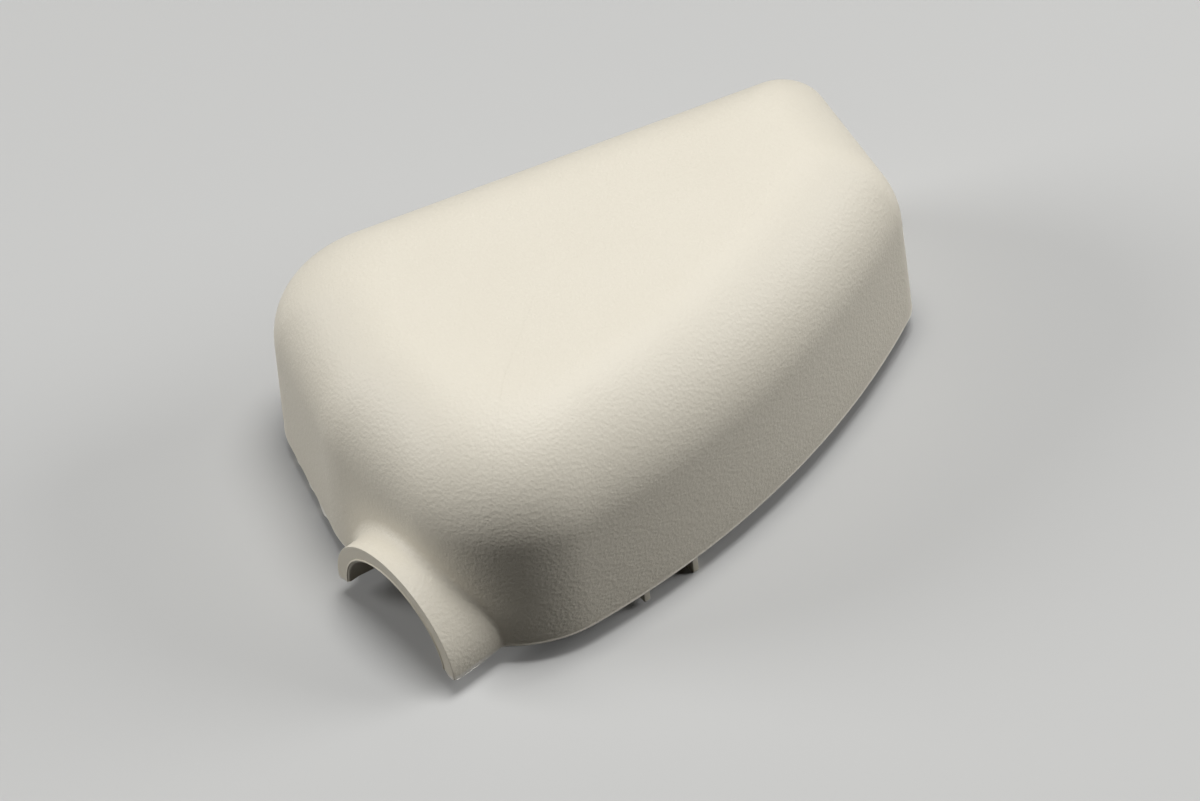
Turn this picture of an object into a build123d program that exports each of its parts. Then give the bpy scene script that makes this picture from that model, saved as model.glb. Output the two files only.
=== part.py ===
from build123d import *
import os
from math import cos, radians, sin, sqrt, tan

# Wing mirror cover: one moulded shell, open below, that closes on the stalk with a half-round collar.
# While it is drawn, X runs along the straight far side, Y away from the bowed near side, Z up from the rim.

# Rim outline, seen from above
length = 154.5          # left side to right side, along the far side
width = 111.5           # lowest point of the bow to the far side
left_lean = 1.0         # degrees that the left side leans in towards the far side
right_lean = 1.4        # degrees that the right side leans in towards the far side
end_width = 52.9        # width of the narrow end, at the right side
bow_low_x = 5.0         # where the bow of the near side is lowest

# Corner radii at the rim, and where the shoulder runs out into the flat top
stalk_left_rim = 30.0   # left side to the flat that carries the collar
stalk_left_top = 25.0
stalk_near_rim = 31.0   # that flat to the bow
stalk_near_top = 23.0
near_right_rim = 10.5
near_right_top = 6.0
far_right_rim = 10.5
far_right_top = 5.0
far_left_rim = 21.0
far_left_top = 15.5

# Section through the wall
height = 56.5           # rim to flat top
draft = 3.0             # degrees that the wall leans in
shoulder_radius = 25.5  # wall to flat top
wall = 2.8

# Half-round collar, with its axis on the rim plane
flat_corner = 0.496     # where the flat behind it would meet the left side, as a share of the width
collar_y = 24.8         # centre of its end face, from the lowest point of the bow
collar_turn = 16.0      # degrees from X to the stalk's axis
stalk_radius = 17.5     # bore that closes on the stalk
collar_wall = 4.5
collar_reach = 6.3      # end face to the flat behind it, at the rim
seat_length = 24.0      # end face to the inner end of the sleeve
root_fillet = 3.0       # collar into the flat
mouth_chamfer = 0.6     # inner edge of the end face

# Locating ribs that pass below the rim and enter the mirror's other half: pairs, and three on the left side
rib_thickness = 1.8
rib_depth = 3.2
rib_setback = 1.2       # outer edge of the rim to the rib
rib_spacing = 15.0      # rib to rib in a pair
left_rib_spacing = 8.75
long_rib_drop = 6.0     # below the rim
short_rib_drop = 4.4
near_ribs_at = 62.2     # middle of each group, along its side
far_ribs_at = 80.0
left_ribs_at = 25.7
right_ribs_at = 29.5

# Screw bosses, in line along the far side
boss_far_gap = 23.5     # far side to the bosses' centres
boss_left_gap = 30.0    # left side to the first centre, along the far side
boss_right_gap = 24.5   # right side to the second centre
boss_radius = 4.2
boss_foot = 2.0         # foot above the rim
pilot_radius = 1.6
pilot_depth = 16.0
web_thickness = 1.8     # plate from each boss to the far wall
web_step = 5.0          # its edge above the boss's foot

shoulder_steps = 11     # sections that the shoulder is drawn through
cut_margin = 2.0        # how far a cut runs past the face that it opens

# The collar's end face stands its reach in front of the flat, whose place follows the width
collar_radius = stalk_radius + collar_wall
stalk_way = Vector(cos(radians(collar_turn)), sin(radians(collar_turn)))
collar_x = ((flat_corner * width - collar_y) * stalk_way.Y - collar_reach) / stalk_way.X
collar_end = Vector(collar_x, collar_y)

# The bow is the circle that is level at its lowest point and passes through the corner of the narrow end
bow_run = length - bow_low_x
bow_rise = width - end_width
bow_radius = (bow_run ** 2 + bow_rise ** 2) / (2 * bow_rise)
bow_centre = Vector(bow_low_x, bow_radius)

# Each straight side: a point on it, and the angle that its inward normal points at
left_side = (Vector(0, width / 2), -left_lean)
flat_side = (collar_end + stalk_way * collar_reach, collar_turn)
right_side = (Vector(length, width), 180 + right_lean)
far_side = (Vector(0, width), -90)

stand_up = (Align.CENTER, Align.CENTER, Align.MIN)


def inward_of(side):
    """Inward normal of a straight side."""
    return Vector(cos(radians(side[1])), sin(radians(side[1])))


def corner_of_sides(first, second, inset, radius):
    """Arc that rounds the corner of two straight sides, each moved in by inset, as three points."""
    n, m = inward_of(first), inward_of(second)
    n_reach = n.dot(first[0]) + inset + radius
    m_reach = m.dot(second[0]) + inset + radius
    cross = n.X * m.Y - n.Y * m.X
    centre = Vector((n_reach * m.Y - m_reach * n.Y) / cross, (m_reach * n.X - n_reach * m.X) / cross)
    return [centre - way * radius for way in (n, (n + m).normalized(), m)]


def corner_of_bow(side, inset, radius):
    """Arc that rounds a straight side into the bow, as three points from the side to the bow."""
    n = inward_of(side)
    reach = n.dot(side[0] - bow_centre) + inset + radius
    towards_near = Vector(n.Y, -n.X) if n.X > 0 else Vector(-n.Y, n.X)
    centre = bow_centre + n * reach + towards_near * sqrt((bow_radius - inset - radius) ** 2 - reach ** 2)
    outward = (centre - bow_centre).normalized()
    return [centre + way * radius for way in (n * -1, (outward - n).normalized(), outward)]


def outline(inset, radii, z):
    """Closed outline of the cover at height z, with every side moved in by inset."""
    stalk_left = corner_of_sides(left_side, flat_side, inset, radii[0])
    stalk_near = corner_of_bow(flat_side, inset, radii[1])
    near_right = corner_of_bow(right_side, inset, radii[2])[::-1]
    far_right = corner_of_sides(right_side, far_side, inset, radii[3])
    far_left = corner_of_sides(far_side, left_side, inset, radii[4])
    chord_middle = (stalk_near[2] + near_right[0]) / 2
    bow_middle = bow_centre + (chord_middle - bow_centre).normalized() * (bow_radius - inset)
    edges = [
        Edge.make_three_point_arc(*stalk_left),
        Edge.make_line(stalk_left[2], stalk_near[0]),
        Edge.make_three_point_arc(*stalk_near),
        Edge.make_three_point_arc(stalk_near[2], bow_middle, near_right[0]),
        Edge.make_three_point_arc(*near_right),
        Edge.make_line(near_right[2], far_right[0]),
        Edge.make_three_point_arc(*far_right),
        Edge.make_line(far_right[2], far_left[0]),
        Edge.make_three_point_arc(*far_left),
        Edge.make_line(far_left[2], stalk_left[0]),
    ]
    return Pos(0, 0, z) * Wire(edges)


def form(offset, bottom):
    """Solid under the surface that lies offset inside the cover's skin, from bottom to its flat top."""
    lean = radians(draft)
    centre_z = height - shoulder_radius
    centre_inset = shoulder_radius / cos(lean) + centre_z * tan(lean)
    radius = shoulder_radius - offset
    corners = [
        (stalk_left_rim, stalk_left_top),
        (stalk_near_rim, stalk_near_top),
        (near_right_rim, near_right_top),
        (far_right_rim, far_right_top),
        (far_left_rim, far_left_top),
    ]

    def section(skin_inset, inset, z):
        share = skin_inset / centre_inset
        return outline(inset, [rim + (top - rim) * share - offset for rim, top in corners], z)

    foot = section(bottom * tan(lean), bottom * tan(lean) + offset / cos(lean), bottom)
    shoulder = []
    for step in range(shoulder_steps):
        angle = lean + (radians(90) - lean) * step / (shoulder_steps - 1)
        skin_inset = centre_inset - shoulder_radius * cos(angle)
        inset = centre_inset - radius * cos(angle)
        shoulder.append(section(skin_inset, inset, centre_z + radius * sin(angle)))
    return Solid.make_loft([foot, shoulder[0]], True) + Solid.make_loft(shoulder)


def half_round(radius, start, end):
    """Upper half of a round bar along the stalk's axis, measured from the collar's end face."""
    across = (-stalk_way.Y, stalk_way.X, 0)
    seat = Plane(origin=collar_end + stalk_way * start, x_dir=across, z_dir=stalk_way)
    bar = seat.location * Cylinder(radius, end - start, align=stand_up)
    return split(bar, bisect_by=Plane.XY, keep=Keep.TOP)


def round_edges(body, radius):
    """Edges above the rim of the half-round face with this radius, sorted from the end face inwards."""
    faces = body.faces().filter_by(GeomType.CYLINDER)
    face = faces.sort_by(lambda each: abs(each.radius - radius))[0]
    edges = [edge for edge in face.edges() if edge.bounding_box().max.Z > radius / 2]
    return sorted(edges, key=lambda edge: (edge.center() - collar_end).dot(stalk_way))


def rib(spot, inward, drop):
    """One locating rib on the wall's inside, from below the rim up to where the shoulder takes it in."""
    place = Plane(origin=spot, x_dir=inward, z_dir=(0, 0, 1))
    blade = Box(rib_depth, rib_thickness, drop + height, align=(Align.MIN, Align.CENTER, Align.MIN))
    return (place.location * Pos(rib_setback, 0, -drop) * blade) & core


def rib_on_side(side, distance, drop):
    """Rib on a straight side, at a distance along it from the point that the side is given by."""
    inward = inward_of(side)
    return rib(side[0] + Vector(-inward.Y, inward.X) * distance, inward, drop)


def rib_on_bow(distance, drop):
    """Rib on the bow, at a distance along it from its lowest point."""
    inward = Vector(-sin(distance / bow_radius), cos(distance / bow_radius))
    return rib(bow_centre - inward * bow_radius, inward, drop)


def boss(x, y):
    """Screw boss that stands down from the inside of the top, with a plate to the far wall."""
    tall = height - boss_foot
    post = Cylinder(boss_radius, tall, align=stand_up)
    plate = Box(web_thickness, width - y, tall, align=(Align.CENTER, Align.MIN, Align.MIN))
    return (Pos(x, y, boss_foot) * (post + Pos(0, 0, web_step) * plate)) & core


# The shell: the outer form with its collar and the fillet at the collar's root, less the hollow
cover = form(0, 0) + half_round(collar_radius, 0, seat_length)
cover = fillet(round_edges(cover, collar_radius)[1:], root_fillet)
cover -= form(wall, -cut_margin)

# The sleeve that carries the collar on inside, and the bore for the stalk
cover += half_round(collar_radius, 0, seat_length)
cover -= half_round(stalk_radius, -cut_margin, seat_length + cut_margin)
cover = chamfer(round_edges(cover, stalk_radius)[0], mouth_chamfer)

# Ribs and bosses end inside the wall, nearer its skin than the ribs' setback, so that they are one piece with it
core = form(wall / 3, -long_rib_drop)
for shift, drop in ((-rib_spacing / 2, short_rib_drop), (rib_spacing / 2, long_rib_drop)):
    cover += rib_on_bow(near_ribs_at + shift, drop)
    cover += rib_on_side(far_side, far_ribs_at + shift, drop)
    cover += rib_on_side(right_side, right_ribs_at + shift, drop)
for shift in (-left_rib_spacing, 0, left_rib_spacing):
    cover += rib_on_side(left_side, left_ribs_at + shift, long_rib_drop)

boss_y = width - boss_far_gap
for boss_x in (boss_left_gap, length - boss_right_gap):
    cover += boss(boss_x, boss_y)
    cover -= Pos(boss_x, boss_y, boss_foot) * Cylinder(pilot_radius, pilot_depth, align=stand_up)

# The origin goes under the middle of the cover, on the plane that it stands on
box = cover.bounding_box()
middle = box.center()
cover = Pos(-middle.X, -middle.Y, -box.min.Z) * cover.solid()

os.makedirs("parts", exist_ok=True)
export_step(cover, "parts/mirror_cover.step")
print("volume", round(cover.volume), "valid", cover.is_valid, "moved from", middle.X, middle.Y, box.min.Z)
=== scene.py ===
import math
import bmesh
import bpy
import numpy as np
from mathutils import Matrix, Vector


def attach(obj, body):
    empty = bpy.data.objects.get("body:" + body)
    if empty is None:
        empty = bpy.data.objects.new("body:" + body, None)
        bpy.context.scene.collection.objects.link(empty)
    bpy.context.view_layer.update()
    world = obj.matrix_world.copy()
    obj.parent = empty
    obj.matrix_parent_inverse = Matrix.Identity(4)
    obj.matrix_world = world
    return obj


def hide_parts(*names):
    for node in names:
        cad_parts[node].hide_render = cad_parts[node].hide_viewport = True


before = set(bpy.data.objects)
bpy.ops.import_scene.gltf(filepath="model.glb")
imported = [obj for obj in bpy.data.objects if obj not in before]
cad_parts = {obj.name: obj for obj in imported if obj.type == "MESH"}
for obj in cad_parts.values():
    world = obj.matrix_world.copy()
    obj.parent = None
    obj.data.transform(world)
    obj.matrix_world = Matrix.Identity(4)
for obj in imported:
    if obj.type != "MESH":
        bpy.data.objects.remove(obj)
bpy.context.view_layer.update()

scene = bpy.context.scene
scene.view_settings.view_transform = "Standard"

radians = math.radians
quarterTurn, fullTurn = math.pi / 2, 2 * math.pi
perMetre = 1000                                             # the drawing is in mm, the frame in metres

# The shell, in mm: x along the straight far side, y away from the bowed near side, z up from the rim
shell = {
    "length": 154.5, "width": 111.5, "endWidth": 52.9,
    "bowLowX": 5.0,                                         # where the bow of the near side is lowest
    "leftLean": 1.0, "rightLean": 1.4, "draft": 3.0,        # degrees
    "height": 56.5, "wall": 2.8,
    "shoulder": 21.6, "shoulderEase": 0.6,                  # radius at the flat top, and its gain at the wall
    # corner radii: left to flat, flat to bow, bow to right, right to far, far to left
    "cornersRim": (30.0, 31.0, 10.5, 10.5, 21.0),
    "cornersTop": (25.0, 23.0, 6.0, 5.0, 15.5),             # where the shoulder meets the flat top
    "rimRound": 0.3,                                        # soft outer edge of the rim
    "lip": 0.1, "lipHeight": 0.45,                          # the wall stands in this far, this high above it
    "lipRise": (0.4, 0.75, 1.0, 1.5, 2.5),                  # rows of the lip, as shares of its height
    "lipShare": (0.35, 0.8, 1.0, 0.9, 0.6),                 # and how far in each row stands
    "lipFade": 6.0,                                         # it dies out over a sixth of the wall above
    "frameOrigin": (75.8899137, 57.2343450, -6.0),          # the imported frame's origin, in this drawing
}

# The half-round collar, its axis lying in the rim plane
collar = {
    "flatCorner": 0.496,                                    # flat to left side, as a share of the width
    "y": 24.8, "turn": 16.0,                                # middle of its end face, and degrees from x
    "bore": 17.5, "wall": 4.5, "reach": 6.3, "seat": 24.0,
    "rootNear": 1.6, "rootFar": 3.2, "rootSwell": 1.7,      # radius of the root, growing over this angle
    "innerEdge": 0.6, "outerEdge": 0.12,
    "bead": 0.45, "beadProud": 0.2,                         # thin flash along the mouth
    "crowding": 1.6,                                        # rows along it lie closer towards the end face
}

# How finely each stretch is divided
mesh = {
    # the outline's ten edges: left corner, flat, near corner, bow, right corner, right side,
    # far right corner, far side, far left corner, left side
    "edgeSteps": (12, 4, 24, 72, 16, 16, 18, 40, 28, 64),
    "rimRows": 5, "rimFade": (4, 2),                        # columns over which it fades at each foot
    "outerRows": {"wall": 26, "shoulder": 40, "cap": 6},
    "innerRows": {"wall": 16, "shoulder": 24, "cap": 4},
    "collarSteps": 96,
    "collarRows": {
        "root": 12, "along": 11, "edge": 5, "face": 10, "bead": 10, "bore": 12, "end": 4, "sleeve": 8,
    },
    "edgeRows": 5,                                          # round the edges of ribs and posts
    "turnSteps": 800, "merge": 2e-6, "sharpAngle": 32,
}
edgeCount = len(mesh["edgeSteps"])
flatEdge, nearCorner, bowEdge, leftEdge = 1, 2, 3, 9        # edges that are called by number
almostOne, tiny = 0.99999, 1e-9                             # keep a column on its edge, and a length off zero


# Unit vector at an angle from x
def facing(degrees):
    return np.array([math.cos(radians(degrees)), math.sin(radians(degrees))])


# Length of plan vectors: root of the sum of the squares
def lengthOf(v):
    return np.hypot(v[..., 0], v[..., 1])


# Unit vectors along plan vectors: each over its length
def unitOf(v):
    return v / np.maximum(lengthOf(v), tiny)[..., None]


# Smooth step: 3 t squared less 2 t cubed, with t held between 0 and 1
def eased(t):
    t = np.clip(t, 0, 1)
    return t * t * (3 - 2 * t)


# Bell curve: e to the minus square of the distance over the half width
def bell(distance, halfWidth):
    return np.exp(-(distance / halfWidth) ** 2)


lean = radians(shell["draft"])
leanSin, leanCos, leanTan = math.sin(lean), math.cos(lean), math.tan(lean)

# The bow is the circle that is level at its lowest point and passes through the corner of the narrow end
bowRise = shell["width"] - shell["endWidth"]
bowRun = shell["length"] - shell["bowLowX"]
bowRadius = (bowRun ** 2 + bowRise ** 2) / (2 * bowRise)
bowCentre = np.array([shell["bowLowX"], bowRadius])

# The collar's end face stands its reach in front of the flat
stalkWay = facing(collar["turn"])
acrossWay = np.array([stalkWay[1], -stalkWay[0]])           # across the stalk, towards the near side
flatReach = (collar["flatCorner"] * shell["width"] - collar["y"]) * stalkWay[1]
collarEnd = np.array([(flatReach - collar["reach"]) / stalkWay[0], collar["y"]])
collarRadius = collar["bore"] + collar["wall"]

# Shoulder: its radius eases with the square of the turn still left, and the section is that radius
# summed over the turn, from the wall's lean to the flat top
shoulderTurn = np.linspace(lean, quarterTurn, mesh["turnSteps"] + 1)
turnMiddle = (shoulderTurn[1:] + shoulderTurn[:-1]) / 2
turnLeft = (quarterTurn - turnMiddle) / (quarterTurn - lean)
turnRadius = shell["shoulder"] * (1 + shell["shoulderEase"] * turnLeft ** 2)
turnStep = turnRadius * (shoulderTurn[1] - shoulderTurn[0])
shoulderIn = np.concatenate([[0], np.cumsum(turnStep * np.sin(turnMiddle))])
shoulderUp = np.concatenate([[0], np.cumsum(turnStep * np.cos(turnMiddle))])
wallEnd = shell["height"] - shoulderUp[-1]                  # height where the wall runs into the shoulder
shoulderInset = wallEnd * leanTan + shoulderIn[-1]

# Straight sides: a point on each, its inward normal, and its distance from the origin along that normal
sidePoints = {
    "left": np.array([0, shell["width"] / 2]),
    "flat": collarEnd + stalkWay * collar["reach"],
    "right": np.array([shell["length"], shell["width"]]),
    "far": np.array([0, shell["width"]]),
}
sideNormals = {
    "left": facing(-shell["leftLean"]),
    "flat": stalkWay,
    "right": facing(180 + shell["rightLean"]),
    "far": facing(-90),
}
sideReach = {side: sideNormals[side] @ point for side, point in sidePoints.items()}


# Corner between two straight sides: the centre lies one radius inside both moved-in sides
def cornerOfSides(one, two, inset, radius):
    n, m = sideNormals[one], sideNormals[two]
    a = sideReach[one] + inset + radius
    b = sideReach[two] + inset + radius
    cross = n[0] * m[1] - n[1] * m[0]
    centre = np.stack([(a * m[1] - b * n[1]) / cross, (b * n[0] - a * m[0]) / cross], -1)
    start = math.atan2(-n[1], -n[0])
    sweep = (math.atan2(-m[1], -m[0]) - start) % fullTurn
    return centre, np.full(inset.shape, start), np.full(inset.shape, start + sweep)


# Corner between a straight side and the bow: one radius inside the side, and that much nearer
# the bow's centre than the bow is
def cornerOfBow(side, inset, radius, bowLast):
    n = sideNormals[side]
    reach = sideReach[side] - n @ bowCentre + inset + radius
    near = np.array([n[1], -n[0]]) if n[0] > 0 else np.array([-n[1], n[0]])
    along = np.sqrt((bowRadius - inset - radius) ** 2 - reach ** 2)
    centre = bowCentre + reach[..., None] * n + along[..., None] * near
    sideAngle = np.full(inset.shape, math.atan2(-n[1], -n[0]))
    bowAngle = np.arctan2(centre[..., 1] - bowCentre[1], centre[..., 0] - bowCentre[0])
    start, end = (sideAngle, bowAngle) if bowLast else (bowAngle, sideAngle)
    return centre, start, start + (end - start) % fullTurn


# The five corners at an inset, each as centre, radius, first and last angle:
# radii run from the rim's to the top's with the share of the shoulder's inset
def corners(inset, share, offset):
    radii = [r + (t - r) * share - offset for r, t in zip(shell["cornersRim"], shell["cornersTop"])]
    parts = [
        cornerOfSides("left", "flat", inset, radii[0]),
        cornerOfBow("flat", inset, radii[1], True),
        cornerOfBow("right", inset, radii[2], False),
        cornerOfSides("right", "far", inset, radii[3]),
        cornerOfSides("far", "left", inset, radii[4]),
    ]
    return [(c, r, a, b) for (c, a, b), r in zip(parts, radii)]


# Point of a circle: the centre, and the radius times the cosine and sine of the angle
def onCircle(centre, radius, angle):
    return centre + radius[..., None] * np.stack([np.cos(angle), np.sin(angle)], -1)


# Points of the outline: column = edge number + share along that edge, arcs by angle, straight edges
# by length; corners and edges take turns, and the second edge is the bow
def outlineAt(inset, share, offset, column):
    inset, share, column = np.broadcast_arrays(inset, share, column)
    five = corners(inset, share, offset)
    part = column - np.floor(column)
    arcs = [onCircle(c, r, a + (b - a) * part) for c, r, a, b in five]
    ends = [(onCircle(c, r, a), onCircle(c, r, b)) for c, r, a, b in five]
    edges = [one[1] + (two[0] - one[1]) * part[..., None] for one, two in zip(ends, ends[1:] + ends[:1])]
    bowStart, bowStop = five[1][3], five[2][2]
    edges[1] = onCircle(bowCentre, bowRadius - inset, bowStart + (bowStop - bowStart) * part)
    pieces = np.stack([piece for pair in zip(arcs, edges) for piece in pair])
    number = np.floor(column).astype(int) % edgeCount
    return np.take_along_axis(pieces, number[None, ..., None], 0)[0]


# Plan distance outside the near-left stretch of the wall at height z, the way out, and the column it
# falls on: from the left or near corner's centre beside them, past them from the bow's, else from the flat
def wallDistance(point, z, offset):
    skin = z * leanTan
    inset = skin + offset / leanCos
    five = corners(inset, skin / shoulderInset, offset)
    (leftMiddle, leftRadius, leftStart, leftStop), (nearMiddle, nearRadius, nearStart, nearStop) = five[:2]
    angles = (leftStart, leftStop, nearStart, nearStop, five[2][2])
    leftStart, leftStop, nearStart, nearStop, bowStop = (angle % fullTurn for angle in angles)
    toLeft, toNear, toBow = point - leftMiddle, point - nearMiddle, point - bowCentre
    atLeft, atNear, atBow = (np.arctan2(to[..., 1], to[..., 0]) % fullTurn for to in (toLeft, toNear, toBow))
    onBow = atNear > nearStop
    onNear = (atNear >= nearStart) & ~onBow
    onLeft = (atLeft < leftStop) & ~onNear & ~onBow
    stretches = [onLeft, onNear, onBow]
    flatFrom = onCircle(leftMiddle, leftRadius, leftStop)
    flatRun = onCircle(nearMiddle, nearRadius, nearStart) - flatFrom
    flatPart = np.sum((point - flatFrom) * flatRun, -1) / np.sum(flatRun * flatRun, -1)
    gap = np.select(stretches, [
        lengthOf(toLeft) - leftRadius,
        lengthOf(toNear) - nearRadius,
        lengthOf(toBow) - (bowRadius - inset),
    ], sideReach["flat"] + inset - point @ sideNormals["flat"])
    out = np.select([each[..., None] for each in stretches], [unitOf(toLeft), unitOf(toNear), unitOf(toBow)],
                    -sideNormals["flat"])
    column = np.select(stretches, [
        np.clip((atLeft - leftStart) / (leftStop - leftStart), 0, almostOne),
        nearCorner + np.clip((atNear - nearStart) / (nearStop - nearStart), 0, almostOne),
        bowEdge + (atBow - nearStop) / (bowStop - nearStop),
    ], flatEdge + np.clip(flatPart, 0, almostOne))
    return gap, out, column


# Points about the stalk's axis: s along it from the end face, r out from it, psi up from the near foot
def aroundStalk(s, r, psi):
    flatPart = collarEnd + s[..., None] * stalkWay + (r * np.cos(psi))[..., None] * acrossWay
    return np.concatenate([flatPart, (r * np.sin(psi))[..., None]], -1)


ballSearch = {"low": -10.0, "high": 60.0, "halvings": 60}   # mm from the end face


# Rolling ball: for each psi, the place along the axis where a ball resting on the collar also touches
# the wall, found by halving the stretch that holds it
def ballAlong(psi, radius, offset):
    low = np.full(psi.shape, ballSearch["low"])
    high = np.full(psi.shape, ballSearch["high"])
    for _ in range(ballSearch["halvings"]):
        s = (low + high) / 2
        ball = aroundStalk(s, collarRadius + radius, psi)
        clear = wallDistance(ball[..., :2], ball[..., 2], offset)[0] * leanCos > radius
        low = np.where(clear, s, low)
        high = np.where(clear, high, s)
    return (low + high) / 2


# Columns round the outline from the near foot on to the left foot, then the collar's own columns
# back to the near foot
def columnsRound(footColumns):
    near, left = footColumns[0], footColumns[-1]
    steps = mesh["edgeSteps"]
    stretches = [np.linspace(near, bowEdge, steps[nearCorner], endpoint=False)]
    stretches += [edge + np.arange(steps[edge]) / steps[edge] for edge in range(bowEdge, edgeCount)]
    stretches += [edgeCount + np.arange(steps[0]) / steps[0]]
    stretches += [np.linspace(edgeCount + flatEdge, edgeCount + left, steps[flatEdge] + 1)]
    outside = np.concatenate(stretches)
    return np.concatenate([outside, footColumns[-2:0:-1]]), len(outside)


# Skin of the shell at an offset, rows over columns: the rim's soft edge and the faint lip above it, the wall
# leaning in by its draft, the shoulder's section, then rings that close the flat top on its middle
def skinGrid(offset, column, start, rimRound, rows):
    bend = np.linspace(0, quarterTurn, mesh["rimRows"])[:, None]
    rim = start + shell["rimRound"] * (1 - np.cos(bend))
    rise = np.array(shell["lipRise"])[:, None] * shell["lipHeight"]
    lip = np.array(shell["lipShare"])[:, None] * shell["lip"] * rimRound / shell["rimRound"]
    lipTop = rim[-1] + rise[-1]
    wallTop = wallEnd - offset * leanSin
    climb = np.linspace(0, 1, rows["wall"])[1:, None]
    fade = np.clip(1 - shell["lipFade"] * climb, 0, 1)
    heights = np.concatenate([rim, rim[-1] + rise, lipTop + (wallTop - lipTop) * climb])
    extra = np.concatenate([rimRound * (1 - np.sin(bend)), lip, lip[-1] * fade])
    skin = heights * leanTan
    flatPart = outlineAt(skin + offset / leanCos + extra, skin / shoulderInset, offset, column[None])
    wall = np.concatenate([flatPart, heights[..., None]], -1)

    angle = np.linspace(lean, quarterTurn, rows["shoulder"])[1:, None] + 0 * column[None]
    skin = wallEnd * leanTan + np.interp(angle, shoulderTurn, shoulderIn)
    up = wallEnd + np.interp(angle, shoulderTurn, shoulderUp) - offset * np.sin(angle)
    flatPart = outlineAt(skin + offset * np.cos(angle), skin / shoulderInset, offset, column[None])
    shoulder = np.concatenate([flatPart, up[..., None]], -1)

    edge = shoulder[-1]
    middle = edge.mean(0)
    shrink = np.linspace(1, 0, rows["cap"] + 1)[1:-1, None, None]
    return np.concatenate([wall, shoulder, middle + (edge - middle) * shrink]), middle


# Quads of a grid; closed joins its last column to its first
def gridFaces(rowCount, columnCount, first, closed, flip):
    row = np.arange(rowCount - 1)[:, None]
    column = np.arange(columnCount if closed else columnCount - 1)[None]
    here = first + row * columnCount + column
    right = first + row * columnCount + (column + 1) % columnCount
    quads = np.stack([here, right, right + columnCount, here + columnCount], -1).reshape(-1, 4)
    return quads[:, ::-1] if flip else quads


# Faces of a skin: its quads, and a fan that shuts the top on the point after its last row
def skinFaces(rowCount, columnCount, first, flip):
    ring = first + (rowCount - 1) * columnCount + np.arange(columnCount)
    pair = [np.roll(ring, -1), ring] if flip else [ring, np.roll(ring, -1)]
    fan = np.stack(pair + [np.full(columnCount, first + rowCount * columnCount)], -1)
    return gridFaces(rowCount, columnCount, first, True, flip).tolist() + fan.tolist()


# Feet trimmed by hand: how far the lowest edge moves, in mm
trim = {
    "nearDrop": 0.8, "nearMiddle": 4.0, "nearHalf": 9.0,    # the near foot hangs, and how far either way
    "nearLift": 1.3, "leftDrop": 0.95, "leftLift": 1.35,    # both feet rise towards the bore
    "riseFrom": 0.45, "riseOver": 0.5,                      # shares of the wall where the near foot rises
    "run": 9.0, "fade": 1.6,                                # gone this far from the end face, and how steeply
    "blunt": 0.6, "bluntRun": 0.6, "bluntShare": 0.1,       # outer corner at the end face
    "nick": 0.35, "nickRun": 1.5, "nickAt": 0.4, "nickShare": 0.12,
    "spread": 0.5,                                          # angle of the collar that takes up the move
}


# Psi with the feet trimmed: moves by the distance s from the end face and the share of the wall from
# its outside to the bore, as arcs over r, taken up evenly over the spread
def trimmedFeet(s, r, psi):
    inner = np.clip((collarRadius - r) / collar["wall"], 0, 1)
    fade = np.clip(trim["fade"] * (1 - s / trim["run"]), 0, 1)
    blunt = trim["blunt"] * bell(s, trim["bluntRun"]) * bell(inner, trim["bluntShare"])
    rise = eased((inner - trim["riseFrom"]) / trim["riseOver"])
    drop = trim["nearDrop"] * np.clip(1 - ((s - trim["nearMiddle"]) / trim["nearHalf"]) ** 2, 0, 1)
    near = (blunt - drop * (1 - rise) + trim["nearLift"] * rise * fade) / r
    nick = trim["nick"] * bell(inner - trim["nickAt"], trim["nickShare"]) * bell(s, trim["nickRun"])
    slope = (trim["leftLift"] + trim["leftDrop"]) * inner - trim["leftDrop"]
    left = (blunt + nick + slope * fade) / r
    spread, back = trim["spread"], math.pi - psi
    out = np.where(psi < spread, near + psi * (1 - near / spread), psi)
    return np.where(back < spread, math.pi - left - back * (1 - left / spread), out)


# Rows of a profile that is the same all round: s along the axis and r out from it, for each column
def evenRows(s, r, count):
    s, r = np.broadcast_arrays(s, r)
    return np.repeat(s[:, None], count, 1), np.repeat(r[:, None], count, 1)


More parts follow.
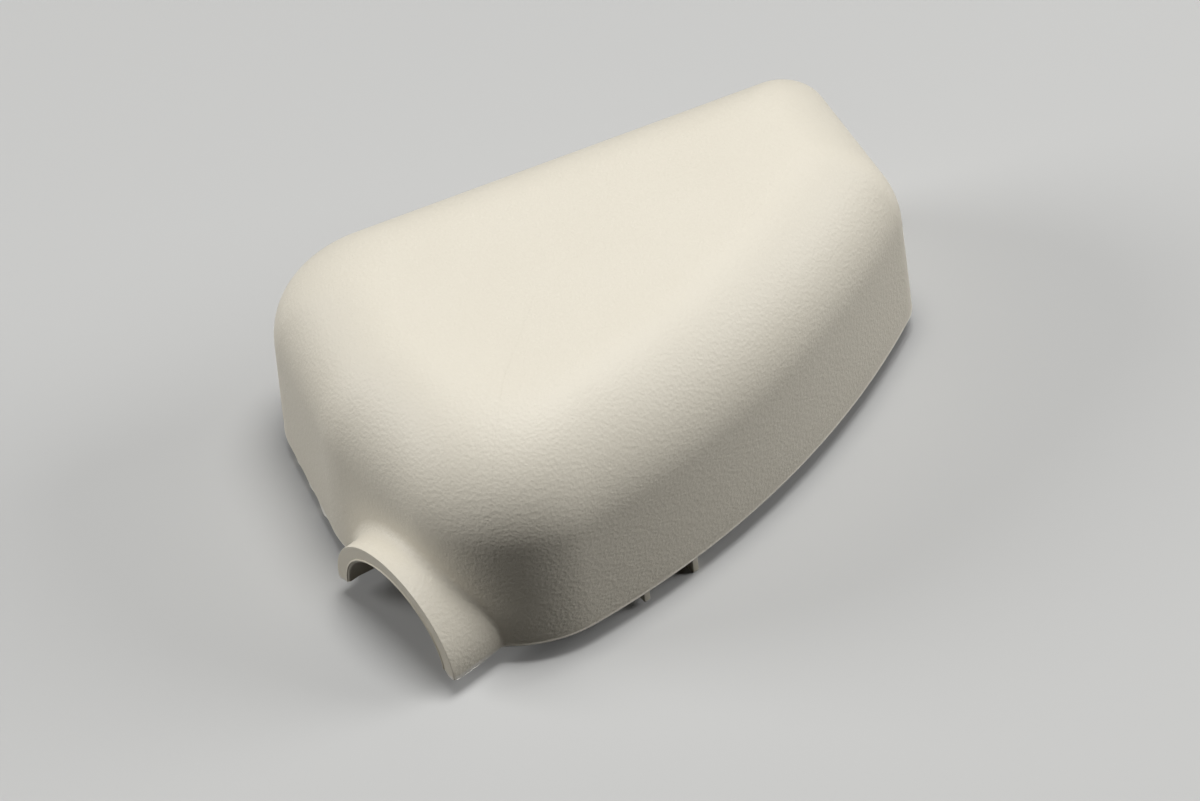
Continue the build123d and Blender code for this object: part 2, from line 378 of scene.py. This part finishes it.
# The collar: a profile of s and r carried round psi, from the wall outside, along the collar, round its
# end face and mouth, through the bore and back along the sleeve to the wall inside; the root is the arc
# of the rolling ball, from where it touches the wall to where it touches the collar
def collarGrid(psi, root, ballS, rootPoints, innerS):
    rows, count = mesh["collarRows"], len(psi)
    bore, seat, edge, mouth = (collar[name] for name in ("bore", "seat", "outerEdge", "innerEdge"))
    ball = aroundStalk(ballS, collarRadius + root, psi)
    one = rootPoints - ball
    two = aroundStalk(ballS, np.full(count, collarRadius), psi) - ball
    lengths = np.linalg.norm(one, axis=-1) * np.linalg.norm(two, axis=-1)
    spread = np.arccos(np.clip(np.sum(one * two, -1) / lengths, -1, 1))
    way = np.linspace(0, 1, rows["root"])[:, None]
    mixOne = np.sin((1 - way) * spread) / np.sin(spread)
    mixTwo = np.sin(way * spread) / np.sin(spread)
    fillet = ball + mixOne[..., None] * one + mixTwo[..., None] * two
    fillet[..., 2] = np.maximum(fillet[..., 2], 0)

    quarter = np.linspace(0, quarterTurn, rows["edge"])[1:]
    half = np.linspace(0, math.pi, rows["bead"])[1:]
    along = np.linspace(1, 0, rows["along"])[1:, None] ** collar["crowding"] * (ballS - edge) + edge
    beadEnd = bore + mouth + collar["bead"]
    beadOut = beadEnd - collar["bead"] * (1 - np.cos(half)) / 2
    sleeve = seat + (innerS - seat) * np.linspace(0, 1, rows["sleeve"])[1:, None]
    profile = [
        (along, np.full(along.shape, collarRadius)),
        evenRows(edge * (1 - np.sin(quarter)), collarRadius - edge * (1 - np.cos(quarter)), count),
        evenRows(0.0, np.linspace(collarRadius - edge, beadEnd, rows["face"])[1:], count),
        evenRows(-collar["beadProud"] * np.sin(half), beadOut, count),
        evenRows(mouth * (1 - np.cos(quarter)), bore + mouth * (1 - np.sin(quarter)), count),
        evenRows(np.linspace(mouth, seat, rows["bore"])[1:], bore, count),
        evenRows(seat, np.linspace(bore, collarRadius, rows["end"])[1:], count),
        (sleeve, np.full(sleeve.shape, collarRadius)),
    ]
    s, r = (np.concatenate(part) for part in zip(*profile))
    return np.concatenate([fillet, aroundStalk(s, r, trimmedFeet(s, r, psi[None] + 0 * s))])


# The left side's rim, trimmed by hand, in mm
leftRim = {
    "lift": 0.45, "ends": 0.12,                             # and the share of the side that each end takes
    "wander": (0.07, 0.05), "waves": (41, 97), "waveStart": (0.6, 2.1),
    "run": 30.7,                                            # length of the side
    "nubsAt": (6.75, 15.45, 24.25), "nubs": (1.8, 0.95, 0.65), "halfWidths": (2.1, 1.6, 1.4),
}


# Height of the rim: a small lift that wanders along the side by two sines and dies out at its ends,
# less three nubs left standing, each a bell curve about its place from the collar
def unevenRim(column):
    along = column - leftEdge
    inside = np.clip(along / leftRim["ends"], 0, 1) * np.clip((1 - along) / leftRim["ends"], 0, 1)
    sines = np.sin(along[..., None] * leftRim["waves"] + leftRim["waveStart"])
    lift = inside * (leftRim["lift"] + sines @ np.array(leftRim["wander"]))
    fromCollar = (1 - along)[..., None] * leftRim["run"]
    bells = bell(fromCollar - leftRim["nubsAt"], leftRim["halfWidths"])
    return lift - bells @ np.array(leftRim["nubs"])


# Mesh of the whole cover: outer skin, inner skin, collar, the rim between the skins and the two feet
def coverMesh():
    psi = np.linspace(0, math.pi, mesh["collarSteps"] + 1)
    root = collar["rootNear"] + (collar["rootFar"] - collar["rootNear"]) * eased(psi / collar["rootSwell"])
    ballS = ballAlong(psi, root, 0.0)
    ball = aroundStalk(ballS, collarRadius + root, psi)
    out = wallDistance(ball[:, :2], ball[:, 2], 0.0)[1]
    normal = np.concatenate([out * leanCos, np.full((len(psi), 1), leanSin)], -1)
    touch = ball - root[:, None] * normal
    touch[:, 2] = np.maximum(touch[:, 2], 0)
    innerS = ballAlong(psi, 0 * psi, shell["wall"])
    innerTouch = aroundStalk(innerS, np.full(psi.shape, collarRadius), psi)
    for meeting in (touch, innerTouch):
        meeting[[0, -1], 2] = 0                             # both feet stand on the rim plane

    outerColumns, outside = columnsRound(wallDistance(touch[:, :2], touch[:, 2], 0.0)[2])
    innerColumns, outside = columnsRound(wallDistance(innerTouch[:, :2], innerTouch[:, 2], shell["wall"])[2])
    count = len(outerColumns)
    number = np.arange(count)
    nearFade, leftFade = mesh["rimFade"]
    fade = np.clip(number / nearFade, 0, 1) * np.clip((outside - 1 - number) / leftFade, 0, 1)
    outerStart = np.concatenate([unevenRim(outerColumns[:outside]), touch[-2:0:-1, 2]])
    innerStart = np.concatenate([unevenRim(innerColumns[:outside]), innerTouch[-2:0:-1, 2]])
    outer, outerTop = skinGrid(0.0, outerColumns, outerStart, shell["rimRound"] * fade, mesh["outerRows"])
    inner, innerTop = skinGrid(shell["wall"], innerColumns, innerStart, 0 * fade, mesh["innerRows"])
    rootPoints = np.concatenate([outer[0, outside - 1:], outer[0, :1]])[::-1]
    band = collarGrid(psi, root, ballS, rootPoints, innerS)

    verts = [outer.reshape(-1, 3), outerTop[None], inner.reshape(-1, 3), innerTop[None], band.reshape(-1, 3)]
    starts = np.cumsum([0] + [len(v) for v in verts])
    outerRim = starts[0] + np.arange(outside)
    innerRim = starts[2] + np.arange(outside)
    foot = starts[4] + np.arange(band.shape[0]) * len(psi)
    outerFaces = skinFaces(outer.shape[0], count, starts[0], False)
    innerFaces = skinFaces(inner.shape[0], count, starts[2], True)
    bandFaces = gridFaces(band.shape[0], len(psi), starts[4], False, False).tolist()
    rimFaces = np.stack([innerRim[:-1], innerRim[1:], outerRim[1:], outerRim[:-1]], -1).tolist()
    feet = [foot.tolist(), (foot + len(psi) - 1)[::-1].tolist()]
    faces = outerFaces + innerFaces + bandFaces + rimFaces + feet

    grainedRows = sum(mesh["collarRows"][name] - 1 for name in ("root", "along", "edge"))
    bandFirst = len(outerFaces) + len(innerFaces)
    finish = np.ones(len(faces), np.int32)                  # 0 is grained, 1 is smooth
    finish[:len(outerFaces)] = 0
    finish[bandFirst:bandFirst + grainedRows * (len(psi) - 1)] = 0
    return np.concatenate(verts), faces, finish


# Locating ribs: a short and a long one on three sides, and three long ones on the left
rib = {
    "thickness": 1.8, "depth": 3.2, "setback": 1.2, "spacing": 15.0, "leftSpacing": 8.75,
    "longDrop": 6.0, "shortDrop": 4.4, "edge": 0.25, "top": 34.0,
    "tipKeeps": 0.001,                                      # share of its edge's radius left at the tip
    "nearAt": 62.2, "farAt": 80.0, "leftAt": 25.7, "rightAt": 29.5,     # middle of each group, along its side
}

# Screw posts on the inside of the top, each with a plate to the far wall
post = {
    "places": ((30.0, 88.0), (130.0, 88.0)), "radius": 4.2, "foot": 2.0, "edge": 0.3, "steps": 48,
    "hole": 1.6, "holeDepth": 16.0, "holeRow": 6.0, "wallRow": 20.0, "tall": 60.0,      # above the foot
    "plate": 1.8, "plateStep": 5.0, "plateFrom": 2.6, "platePast": 1.0, "plateTop": 62.0,
}

# The form that ribs and posts end in: a third of the wall in from the skin, and a little lower than the ribs
core = {"wallParts": 3, "below": 1.0}


# A closed tube: rings of points, rows by columns, shut at both ends
def tube(rings):
    rows, count = rings.shape[:2]
    faces = gridFaces(rows, count, 0, True, False).tolist()
    faces += [list(range(count))[::-1], list(range((rows - 1) * count, rows * count))]
    return rings.reshape(-1, 3), faces


# One rib: a rounded oblong carried straight up, drawn in by a quarter circle at its tip
def ribTube(spot, inward, drop):
    e, half, depth = rib["edge"], rib["thickness"] / 2, rib["depth"]
    bend = np.linspace(0, quarterTurn, mesh["edgeRows"])
    pull = np.concatenate([e * (1 - np.sin(bend)), [0, 0]])[:, None]
    heights = np.concatenate([-drop + e * (1 - np.cos(bend)), [-drop / 2, rib["top"]]])[:, None]
    middles = np.array([(depth - e, half - e), (e, half - e), (e, e - half), (depth - e, e - half)])
    alongMiddle, acrossMiddle = np.repeat(middles, len(bend), 0).T
    angle = np.concatenate([bend + corner * quarterTurn for corner in range(len(middles))])
    radius = e - (1 - rib["tipKeeps"]) * pull
    along = alongMiddle + radius * np.cos(angle) + rib["setback"]
    across = acrossMiddle + radius * np.sin(angle)
    side = np.array([-inward[1], inward[0]])
    flatPart = spot + along[..., None] * inward + across[..., None] * side
    return tube(np.concatenate([flatPart, (heights + 0 * along)[..., None]], -1))


# One post: a lathe profile from inside the hole, over the foot's edge, up to the top
def postTube(place):
    e, r, hole = post["edge"], post["radius"], post["hole"]
    bend = np.linspace(0, quarterTurn, mesh["edgeRows"])
    radii = np.concatenate([[hole, hole], hole + e * (1 - np.cos(bend)), r - e + e * np.sin(bend), [r, r]])
    edges = [e * (1 - np.sin(bend)), e * (1 - np.cos(bend))]
    heights = np.concatenate([[post["holeDepth"], post["holeRow"]], *edges, [post["wallRow"], post["tall"]]])
    around = np.linspace(0, fullTurn, post["steps"], endpoint=False)
    x = place[0] + radii[:, None] * np.cos(around)
    y = place[1] + radii[:, None] * np.sin(around)
    return tube(np.stack([x, y, (heights + post["foot"])[:, None] + 0 * x], -1))


# One plate: a thin oblong from the post's wall into the far wall, carried up to the top
def plateTube(place):
    left, right = place[0] - post["plate"] / 2, place[0] + post["plate"] / 2
    near, far = place[1] + post["plateFrom"], shell["width"] + post["platePast"]
    corner = np.array([(left, near, 0), (right, near, 0), (right, far, 0), (left, far, 0)])
    heights = np.array([post["foot"] + post["plateStep"], post["plateTop"]])
    return tube(corner + heights[:, None, None] * np.array([0, 0, 1]))


# Rib on a straight side, at a distance along it from the side's point: its place, the way in and its drop
def ribOnSide(side, distance, drop):
    inward = sideNormals[side]
    return sidePoints[side] + np.array([-inward[1], inward[0]]) * distance, inward, drop


# Rib on the bow, at a distance along it from its lowest point: the arc's angle is distance over radius
def ribOnBow(distance, drop):
    turn = distance / bowRadius
    inward = np.array([-math.sin(turn), math.cos(turn)])
    return bowCentre - inward * bowRadius, inward, drop


# Where the ribs stand: each group's middle along its side, plus and minus half the spacing of a pair
def ribSpots():
    spots = []
    for shift, drop in ((-rib["spacing"] / 2, rib["shortDrop"]), (rib["spacing"] / 2, rib["longDrop"])):
        spots.append(ribOnBow(rib["nearAt"] + shift, drop))
        spots.append(ribOnSide("far", rib["farAt"] + shift, drop))
        spots.append(ribOnSide("right", rib["rightAt"] + shift, drop))
    for shift in (-rib["leftSpacing"], 0, rib["leftSpacing"]):
        spots.append(ribOnSide("left", rib["leftAt"] + shift, rib["longDrop"]))
    return spots


# Several closed pieces as one: each piece's face numbers move past the points before it
def joined(parts):
    starts = np.cumsum([0] + [len(part[0]) for part in parts])
    faces = [[i + start for i in face] for part, start in zip(parts, starts) for face in part[1]]
    return np.concatenate([part[0] for part in parts]), faces


# Stage report: open edges are those that two faces don't share, and the volume is in cubic mm
def reportShape(stage, shape):
    openEdges = sum(len(edge.link_faces) != 2 for edge in shape.edges)
    volume = round(shape.calc_volume(signed=True) * perMetre ** 3)
    print(stage, len(shape.faces), "faces, open edges", openEdges, "volume", volume)


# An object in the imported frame, with doubled points merged; finish gives each face its plastic
def meshObject(name, verts, faces, finish=None):
    data = bpy.data.meshes.new(name)
    data.from_pydata(((verts - np.array(shell["frameOrigin"])) / perMetre).tolist(), [], faces)
    for material in (coverPlastic, insidePlastic):
        data.materials.append(material)
    smooth = np.ones(len(faces), np.int32)
    data.polygons.foreach_set("material_index", smooth if finish is None else finish)
    shape = bmesh.new()
    shape.from_mesh(data)
    bmesh.ops.remove_doubles(shape, verts=shape.verts, dist=mesh["merge"])
    reportShape("made " + name, shape)
    shape.to_mesh(data)
    shape.free()
    thing = bpy.data.objects.new(name, data)
    scene.collection.objects.link(thing)
    return thing


# Cut or join with another object, live until the whole is read off
def boolean(thing, other, operation):
    step = thing.modifiers.new(operation.lower(), "BOOLEAN")
    step.object = other
    step.operation = operation
    step.solver = "EXACT"


# The cover: the bare shell, then ribs, plates and posts, cut to the core and joined to it as one piece
coverPlastic = bpy.data.materials.new("coverPlastic")
insidePlastic = bpy.data.materials.new("insidePlastic")
coverObject = meshObject("mirrorCover", *coverMesh())
allColumns = np.concatenate([edge + np.arange(n) / n for edge, n in enumerate(mesh["edgeSteps"])])
coreStart = np.full(len(allColumns), -rib["longDrop"] - core["below"])
coreOffset = shell["wall"] / core["wallParts"]
coreSkin = skinGrid(coreOffset, allColumns, coreStart, 0 * allColumns, mesh["innerRows"])[0]
coreObject = meshObject("core", *tube(coreSkin))
blades = [ribTube(*spot) for spot in ribSpots()] + [plateTube(place) for place in post["places"]]
ribObject = meshObject("ribs", *joined(blades))
postObject = meshObject("posts", *joined([postTube(place) for place in post["places"]]))
for thing in (ribObject, postObject):
    boolean(thing, coreObject, "INTERSECT")
    boolean(coverObject, thing, "UNION")
whole = bpy.data.meshes.new_from_object(coverObject.evaluated_get(bpy.context.evaluated_depsgraph_get()))
coverObject.modifiers.clear()
coverObject.data = whole
for thing in (ribObject, postObject, coreObject):
    bpy.data.objects.remove(thing)
check = bmesh.new()
check.from_mesh(whole)
reportShape("whole cover", check)
check.free()

# Rim mask for the painted highlight, a paler colour along the trimmed edge: full on the rim and the nubs,
# gone a little above; the ribs have none
rimEdgeHighlight = {"lowest": -1.6, "full": 0.15, "fade": 0.45}      # mm above the rim
spots = np.zeros(len(whole.vertices) * 3)
whole.vertices.foreach_get("co", spots)
aboveRim = spots.reshape(-1, 3)[:, 2] * perMetre + shell["frameOrigin"][2]
rimHighlightMask = np.clip(1 - (aboveRim - rimEdgeHighlight["full"]) / rimEdgeHighlight["fade"], 0, 1)
rimHighlightMask = np.where(aboveRim > rimEdgeHighlight["lowest"], rimHighlightMask, 0).astype(np.float32)
whole.attributes.new("rimEdgeHighlight", "FLOAT", "POINT").data.foreach_set("value", rimHighlightMask)
whole.polygons.foreach_set("use_smooth", np.ones(len(whole.polygons), bool))
whole.set_sharp_from_angle(angle=radians(mesh["sharpAngle"]))
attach(coverObject, "root")
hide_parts("mirror_cover")

# Camera at the photograph's viewing angle: its place in the drawing, in mm, and its ways right and up
view = {
    "place": (-142.494, -565.648, 709.581),
    "right": (0.91079, -0.40431, -0.08369), "up": (0.34842, 0.64390, 0.68118),
    "lens": 120.0, "sensor": 36.0, "nearest": 0.01, "farthest": 50,
}
cameraData = bpy.data.cameras.new("camera")
cameraData.lens = view["lens"]
cameraData.sensor_width = view["sensor"]
cameraData.sensor_fit = "HORIZONTAL"
cameraData.clip_start = view["nearest"]
cameraData.clip_end = view["farthest"]
cameraObject = bpy.data.objects.new("camera", cameraData)
scene.collection.objects.link(cameraObject)
right, up = Vector(view["right"]).normalized(), Vector(view["up"]).normalized()
axes = (right, up, right.cross(up))
cameraObject.matrix_world = Matrix([(*axis, 0) for axis in axes] + [(0, 0, 0, 1)]).transposed()
cameraObject.location = (np.array(view["place"]) - np.array(shell["frameOrigin"])) / perMetre
scene.camera = cameraObject
print("camera", view["lens"], "mm")

# Grain of the mould, shared by both plastics
grain = {
    "detail": 4.0, "roughness": 0.62, "cellSoftness": 0.6, "driftScale": 38.0, "driftDetail": 3.0,
    "toneShare": 0.6, "driftShare": 0.4, "toneRange": (0.3, 0.7),
}
colourA, colourB, colourOut = 6, 7, 2                       # the Mix node's colour sockets


# Fine noise mixed with soft cells is the height, the noise alone is the tone, and a slow noise is the drift
def grainGroup():
    group = bpy.data.node_groups.new("mouldGrain", "ShaderNodeTree")
    for name in ("Grain Scale", "Cell Scale", "Cell Share"):
        group.interface.new_socket(name, in_out="INPUT", socket_type="NodeSocketFloat")
    for name in ("Height", "Tone", "Drift"):
        group.interface.new_socket(name, in_out="OUTPUT", socket_type="NodeSocketFloat")
    nodes, links = group.nodes, group.links
    inlet, outlet = nodes.new("NodeGroupInput"), nodes.new("NodeGroupOutput")
    place = nodes.new("ShaderNodeTexCoord")
    noise = nodes.new("ShaderNodeTexNoise")
    noise.inputs["Detail"].default_value = grain["detail"]
    noise.inputs["Roughness"].default_value = grain["roughness"]
    cells = nodes.new("ShaderNodeTexVoronoi")
    cells.feature = "SMOOTH_F1"
    cells.inputs["Smoothness"].default_value = grain["cellSoftness"]
    drift = nodes.new("ShaderNodeTexNoise")
    drift.inputs["Scale"].default_value = grain["driftScale"]
    drift.inputs["Detail"].default_value = grain["driftDetail"]
    mix = nodes.new("ShaderNodeMix")
    for texture in (noise, cells, drift):
        links.new(place.outputs["Object"], texture.inputs["Vector"])
    links.new(inlet.outputs["Grain Scale"], noise.inputs["Scale"])
    links.new(inlet.outputs["Cell Scale"], cells.inputs["Scale"])
    links.new(inlet.outputs["Cell Share"], mix.inputs[0])
    links.new(noise.outputs["Fac"], mix.inputs[2])
    links.new(cells.outputs["Distance"], mix.inputs[3])
    links.new(mix.outputs[0], outlet.inputs["Height"])
    links.new(noise.outputs["Fac"], outlet.inputs["Tone"])
    links.new(drift.outputs["Fac"], outlet.inputs["Drift"])
    return group


# Colour between two, by a factor; low may be a plain colour or another node's output
def mixedColour(nodes, links, factor, low, high):
    mix = nodes.new("ShaderNodeMix")
    mix.data_type = "RGBA"
    links.new(factor, mix.inputs[0])
    if isinstance(low, tuple):
        mix.inputs[colourA].default_value = low
    else:
        links.new(low, mix.inputs[colourA])
    mix.inputs[colourB].default_value = high
    return mix.outputs[colourOut]


# Grain's tone stretched to run from low to high
def stretched(nodes, links, tone, low, high):
    ramp = nodes.new("ShaderNodeMapRange")
    ramp.inputs["From Min"].default_value, ramp.inputs["From Max"].default_value = grain["toneRange"]
    ramp.inputs["To Min"].default_value = low
    ramp.inputs["To Max"].default_value = high
    links.new(tone, ramp.inputs["Value"])
    return ramp.outputs[0]


# Off-white plastic, grained outside and smooth inside; the trimmed colour is a painted highlight for the rim
# edge
plastics = {
    "coverPlastic": {
        "cream": (0.788, 0.740, 0.630, 1), "shade": (0.758, 0.707, 0.595, 1),
        "trimmedHighlight": (0.86, 0.83, 0.76, 1), "rough": (0.48, 0.60), "ior": 1.49, "specular": 0.65,
        "grain": 1550.0, "cell": 1050.0, "cellShare": 0.4, "bump": 0.9, "bumpDepth": 0.00018,
    },
    "insidePlastic": {
        "cream": (0.785, 0.732, 0.610, 1), "shade": (0.750, 0.696, 0.572, 1),
        "trimmedHighlight": (0.84, 0.81, 0.74, 1), "rough": (0.40, 0.52), "ior": 1.49, "specular": 0.65,
        "grain": 620.0, "cell": 240.0, "cellShare": 0.3, "bump": 0.18, "bumpDepth": 0.00008,
    },
}
mouldGrain = grainGroup()


# Cream that drifts a little, darker in the grain, paler on the trimmed rim as a painted highlight; gloss
# follows the grain
def dressPlastic(material, look):
    material.use_nodes = True
    nodes, links = material.node_tree.nodes, material.node_tree.links
    shader = nodes["Principled BSDF"]
    shader.inputs["IOR"].default_value = look["ior"]
    shader.inputs["Specular IOR Level"].default_value = look["specular"]
    texture = nodes.new("ShaderNodeGroup")
    texture.node_tree = mouldGrain
    for socket, name in (("Grain Scale", "grain"), ("Cell Scale", "cell"), ("Cell Share", "cellShare")):
        texture.inputs[socket].default_value = look[name]
    drift = nodes.new("ShaderNodeMath")
    drift.operation = "MULTIPLY"
    drift.inputs[1].default_value = grain["driftShare"]
    links.new(texture.outputs["Drift"], drift.inputs[0])
    blend = nodes.new("ShaderNodeMath")
    blend.operation = "MULTIPLY_ADD"                        # tone by its share, plus drift by its share
    blend.inputs[1].default_value = grain["toneShare"]
    links.new(texture.outputs["Tone"], blend.inputs[0])
    links.new(drift.outputs[0], blend.inputs[2])
    shading = stretched(nodes, links, blend.outputs[0], 0, 1)
    cream = mixedColour(nodes, links, shading, look["shade"], look["cream"])
    # Painted highlight: the rim edge takes a paler colour through its mask
    highlightMask = nodes.new("ShaderNodeAttribute")
    highlightMask.attribute_name = "rimEdgeHighlight"
    colour = mixedColour(nodes, links, highlightMask.outputs["Fac"], cream, look["trimmedHighlight"])
    links.new(colour, shader.inputs["Base Color"])
    rough = stretched(nodes, links, texture.outputs["Tone"], *look["rough"])
    links.new(rough, shader.inputs["Roughness"])
    bump = nodes.new("ShaderNodeBump")
    bump.inputs["Strength"].default_value = look["bump"]
    bump.inputs["Distance"].default_value = look["bumpDepth"]
    links.new(texture.outputs["Height"], bump.inputs["Height"])
    links.new(bump.outputs[0], shader.inputs["Normal"])


for material in (coverPlastic, insidePlastic):
    dressPlastic(material, plastics[material.name])
print("plastics", len(plastics))


# 1 for rays that show the backdrop: those from the camera, and those it sees by reflection or through glass
def shownRays(nodes, links):
    rays = nodes.new("ShaderNodeLightPath")
    first, both = nodes.new("ShaderNodeMath"), nodes.new("ShaderNodeMath")
    first.operation = both.operation = "MAXIMUM"
    links.new(rays.outputs["Is Camera Ray"], first.inputs[0])
    links.new(rays.outputs["Is Glossy Ray"], first.inputs[1])
    links.new(first.outputs[0], both.inputs[0])
    links.new(rays.outputs["Is Transmission Ray"], both.inputs[1])
    return both.outputs[0]


# Floor: pale to the camera and in reflections, nearly black to other light that bounces off it
floor = {
    "half": 3.0, "seen": (0.58, 0.58, 0.57, 1), "bounce": (0.020, 0.017, 0.013, 1),
    "roughness": 0.8, "specular": 0.1,
}
floorCorners = [(x * floor["half"], y * floor["half"], 0) for x, y in ((-1, -1), (1, -1), (1, 1), (-1, 1))]
floorData = bpy.data.meshes.new("floor")
floorData.from_pydata(floorCorners, [], [(0, 1, 2, 3)])
floorObject = bpy.data.objects.new("floor", floorData)
scene.collection.objects.link(floorObject)
floorPaint = bpy.data.materials.new("paleFloor")
floorPaint.use_nodes = True
floorNodes, floorLinks = floorPaint.node_tree.nodes, floorPaint.node_tree.links
floorShader = floorNodes["Principled BSDF"]
floorShader.inputs["Roughness"].default_value = floor["roughness"]
floorShader.inputs["Specular IOR Level"].default_value = floor["specular"]
floorRays = shownRays(floorNodes, floorLinks)
floorTone = mixedColour(floorNodes, floorLinks, floorRays, floor["bounce"], floor["seen"])
floorLinks.new(floorTone, floorShader.inputs["Base Color"])
floorData.materials.append(floorPaint)
print("floor", 2 * floor["half"], "m")

# Studio: a wide soft lamp overhead, one behind on the left and one on the right; degrees, metres and watts
lamps = {
    "overhead": {"azimuth": 350, "height": 83, "size": (0.6, 0.9), "energy": 15.0},
    "left": {"azimuth": 154, "height": 28, "size": (0.8, 0.8), "energy": 10.3},
    "right": {"azimuth": 344, "height": 28, "size": (0.8, 0.8), "energy": 10.0},
}
lampReach, lampAim = 1.5, Vector((0, 0, 0.03))
for name, lamp in lamps.items():
    az, el = radians(lamp["azimuth"]), radians(lamp["height"])
    way = Vector((math.cos(el) * math.cos(az), math.cos(el) * math.sin(az), math.sin(el)))
    side = Vector((-math.sin(az), math.cos(az), 0))         # a lamp shines along its own -z
    lampData = bpy.data.lights.new(name, "AREA")
    lampData.shape = "ELLIPSE"
    lampData.energy = lamp["energy"]
    lampData.size, lampData.size_y = lamp["size"]
    lampObject = bpy.data.objects.new(name, lampData)
    scene.collection.objects.link(lampObject)
    lampObject.location = way * lampReach + lampAim
    lampObject.rotation_euler = Matrix((side, way.cross(side), way)).transposed().to_euler()
print("lamps", len(lamps))

# Backdrop: pale where it shows, and hardly any light of its own
backdrop = {"seen": (0.60, 0.60, 0.59, 1), "light": 0.004}
world = bpy.data.worlds.new("backdrop")
scene.world = world
world.use_nodes = True
worldNodes, worldLinks = world.node_tree.nodes, world.node_tree.links
dim, shown = worldNodes["Background"], worldNodes.new("ShaderNodeBackground")
dim.inputs["Color"].default_value = (1, 1, 1, 1)
dim.inputs["Strength"].default_value = backdrop["light"]
shown.inputs["Color"].default_value = backdrop["seen"]
either = worldNodes.new("ShaderNodeMixShader")
worldLinks.new(shownRays(worldNodes, worldLinks), either.inputs[0])
worldLinks.new(dim.outputs[0], either.inputs[1])
worldLinks.new(shown.outputs[0], either.inputs[2])
worldLinks.new(either.outputs[0], worldNodes["World Output"].inputs["Surface"])
print("backdrop", backdrop["light"])
